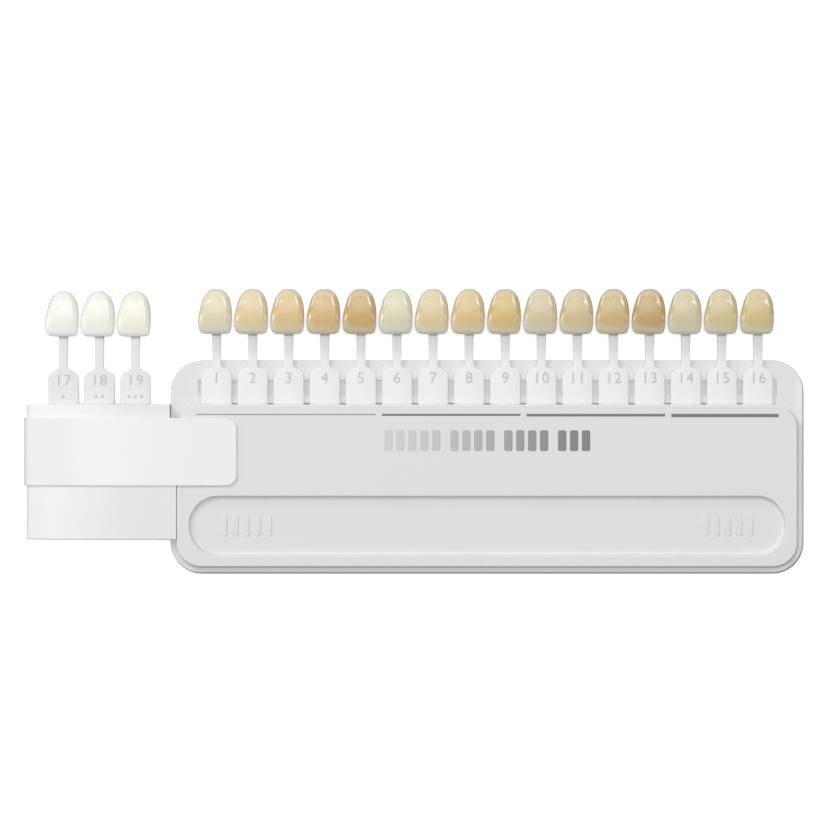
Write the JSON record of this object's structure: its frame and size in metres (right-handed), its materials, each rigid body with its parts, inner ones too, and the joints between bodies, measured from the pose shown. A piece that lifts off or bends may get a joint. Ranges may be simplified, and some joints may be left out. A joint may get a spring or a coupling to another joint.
{
  "type": "dental shade guide",
  "caption": "Flat holder that grips a row of pull-out shade tabs, each with a tooth sample on a stem, and a clip-on holder of bleached shades at its left end.",
  "frame": {"origin": "centre of the holder's flat back face, on the surface that it lies on", "axes": "+X along the row of tabs to the right, +Y towards the teeth, +Z out of the printed front panel"},
  "size_m": [0.2033, 0.0745, 0.0091],
  "materials": {
    "holder_plastic": "fine satin",
    "tab_plastic": "smooth satin",
    "band_plastic": "smooth satin",
    "print_grey": "printed",
    "shade_01": "glazed",
    "shade_02": "glazed",
    "shade_03": "glazed",
    "shade_04": "glazed",
    "shade_05": "glazed",
    "shade_06": "glazed",
    "shade_07": "glazed",
    "shade_08": "glazed",
    "shade_09": "glazed",
    "shade_10": "glazed",
    "shade_11": "glazed",
    "shade_12": "glazed",
    "shade_13": "glazed",
    "shade_14": "glazed",
    "shade_15": "glazed",
    "shade_16": "glazed",
    "bleached_1": "glazed",
    "bleached_2": "glazed",
    "bleached_3": "glazed"
  },
  "bodies": {
    "holder": {"rear_shell": "holder_plastic", "front_panel": "holder_plastic", "printed_marks": "print_grey"},
    "addon_holder": {"addon_front_shell": "holder_plastic", "addon_rear_shell": "holder_plastic", "clip_band": "band_plastic"},
    "shade_tab_01": {"tab_01": "tab_plastic", "tooth_01": "shade_01"},
    "shade_tab_02": {"tab_02": "tab_plastic", "tooth_02": "shade_02"},
    "shade_tab_03": {"tab_03": "tab_plastic", "tooth_03": "shade_03"},
    "shade_tab_04": {"tab_04": "tab_plastic", "tooth_04": "shade_04"},
    "shade_tab_05": {"tab_05": "tab_plastic", "tooth_05": "shade_05"},
    "shade_tab_06": {"tab_06": "tab_plastic", "tooth_06": "shade_06"},
    "shade_tab_07": {"tab_07": "tab_plastic", "tooth_07": "shade_07"},
    "shade_tab_08": {"tab_08": "tab_plastic", "tooth_08": "shade_08"},
    "shade_tab_09": {"tab_09": "tab_plastic", "tooth_09": "shade_09"},
    "shade_tab_10": {"tab_10": "tab_plastic", "tooth_10": "shade_10"},
    "shade_tab_11": {"tab_11": "tab_plastic", "tooth_11": "shade_11"},
    "shade_tab_12": {"tab_12": "tab_plastic", "tooth_12": "shade_12"},
    "shade_tab_13": {"tab_13": "tab_plastic", "tooth_13": "shade_13"},
    "shade_tab_14": {"tab_14": "tab_plastic", "tooth_14": "shade_14"},
    "shade_tab_15": {"tab_15": "tab_plastic", "tooth_15": "shade_15"},
    "shade_tab_16": {"tab_16": "tab_plastic", "tooth_16": "shade_16"},
    "bleached_tab_1": {"bleach_tab_1": "tab_plastic", "bleach_tooth_1": "bleached_1"},
    "bleached_tab_2": {"bleach_tab_2": "tab_plastic", "bleach_tooth_2": "bleached_2"},
    "bleached_tab_3": {"bleach_tab_3": "tab_plastic", "bleach_tooth_3": "bleached_3"}
  },
  "joints": [
    {"name": "addon_slide", "type": "slide", "parent": "holder", "child": "addon_holder", "axis": [-1, 0, 0], "range_m": [0, 0.0175]},
    {"name": "tab_01_pull", "type": "slide", "parent": "holder", "child": "shade_tab_01", "axis": [0, 1, 0], "range_m": [0, 0.012]},
    {"name": "tab_02_pull", "type": "slide", "parent": "holder", "child": "shade_tab_02", "axis": [0, 1, 0], "range_m": [0, 0.012]},
    {"name": "tab_03_pull", "type": "slide", "parent": "holder", "child": "shade_tab_03", "axis": [0, 1, 0], "range_m": [0, 0.012]},
    {"name": "tab_04_pull", "type": "slide", "parent": "holder", "child": "shade_tab_04", "axis": [0, 1, 0], "range_m": [0, 0.012]},
    {"name": "tab_05_pull", "type": "slide", "parent": "holder", "child": "shade_tab_05", "axis": [0, 1, 0], "range_m": [0, 0.012]},
    {"name": "tab_06_pull", "type": "slide", "parent": "holder", "child": "shade_tab_06", "axis": [0, 1, 0], "range_m": [0, 0.012]},
    {"name": "tab_07_pull", "type": "slide", "parent": "holder", "child": "shade_tab_07", "axis": [0, 1, 0], "range_m": [0, 0.012]},
    {"name": "tab_08_pull", "type": "slide", "parent": "holder", "child": "shade_tab_08", "axis": [0, 1, 0], "range_m": [0, 0.012]},
    {"name": "tab_09_pull", "type": "slide", "parent": "holder", "child": "shade_tab_09", "axis": [0, 1, 0], "range_m": [0, 0.012]},
    {"name": "tab_10_pull", "type": "slide", "parent": "holder", "child": "shade_tab_10", "axis": [0, 1, 0], "range_m": [0, 0.012]},
    {"name": "tab_11_pull", "type": "slide", "parent": "holder", "child": "shade_tab_11", "axis": [0, 1, 0], "range_m": [0, 0.012]},
    {"name": "tab_12_pull", "type": "slide", "parent": "holder", "child": "shade_tab_12", "axis": [0, 1, 0], "range_m": [0, 0.012]},
    {"name": "tab_13_pull", "type": "slide", "parent": "holder", "child": "shade_tab_13", "axis": [0, 1, 0], "range_m": [0, 0.012]},
    {"name": "tab_14_pull", "type": "slide", "parent": "holder", "child": "shade_tab_14", "axis": [0, 1, 0], "range_m": [0, 0.012]},
    {"name": "tab_15_pull", "type": "slide", "parent": "holder", "child": "shade_tab_15", "axis": [0, 1, 0], "range_m": [0, 0.012]},
    {"name": "tab_16_pull", "type": "slide", "parent": "holder", "child": "shade_tab_16", "axis": [0, 1, 0], "range_m": [0, 0.012]},
    {"name": "bleach_tab_1_pull", "type": "slide", "parent": "addon_holder", "child": "bleached_tab_1", "axis": [0, 1, 0], "range_m": [0, 0.012]},
    {"name": "bleach_tab_2_pull", "type": "slide", "parent": "addon_holder", "child": "bleached_tab_2", "axis": [0, 1, 0], "range_m": [0, 0.012]},
    {"name": "bleach_tab_3_pull", "type": "slide", "parent": "addon_holder", "child": "bleached_tab_3", "axis": [0, 1, 0], "range_m": [0, 0.012]}
  ]
}
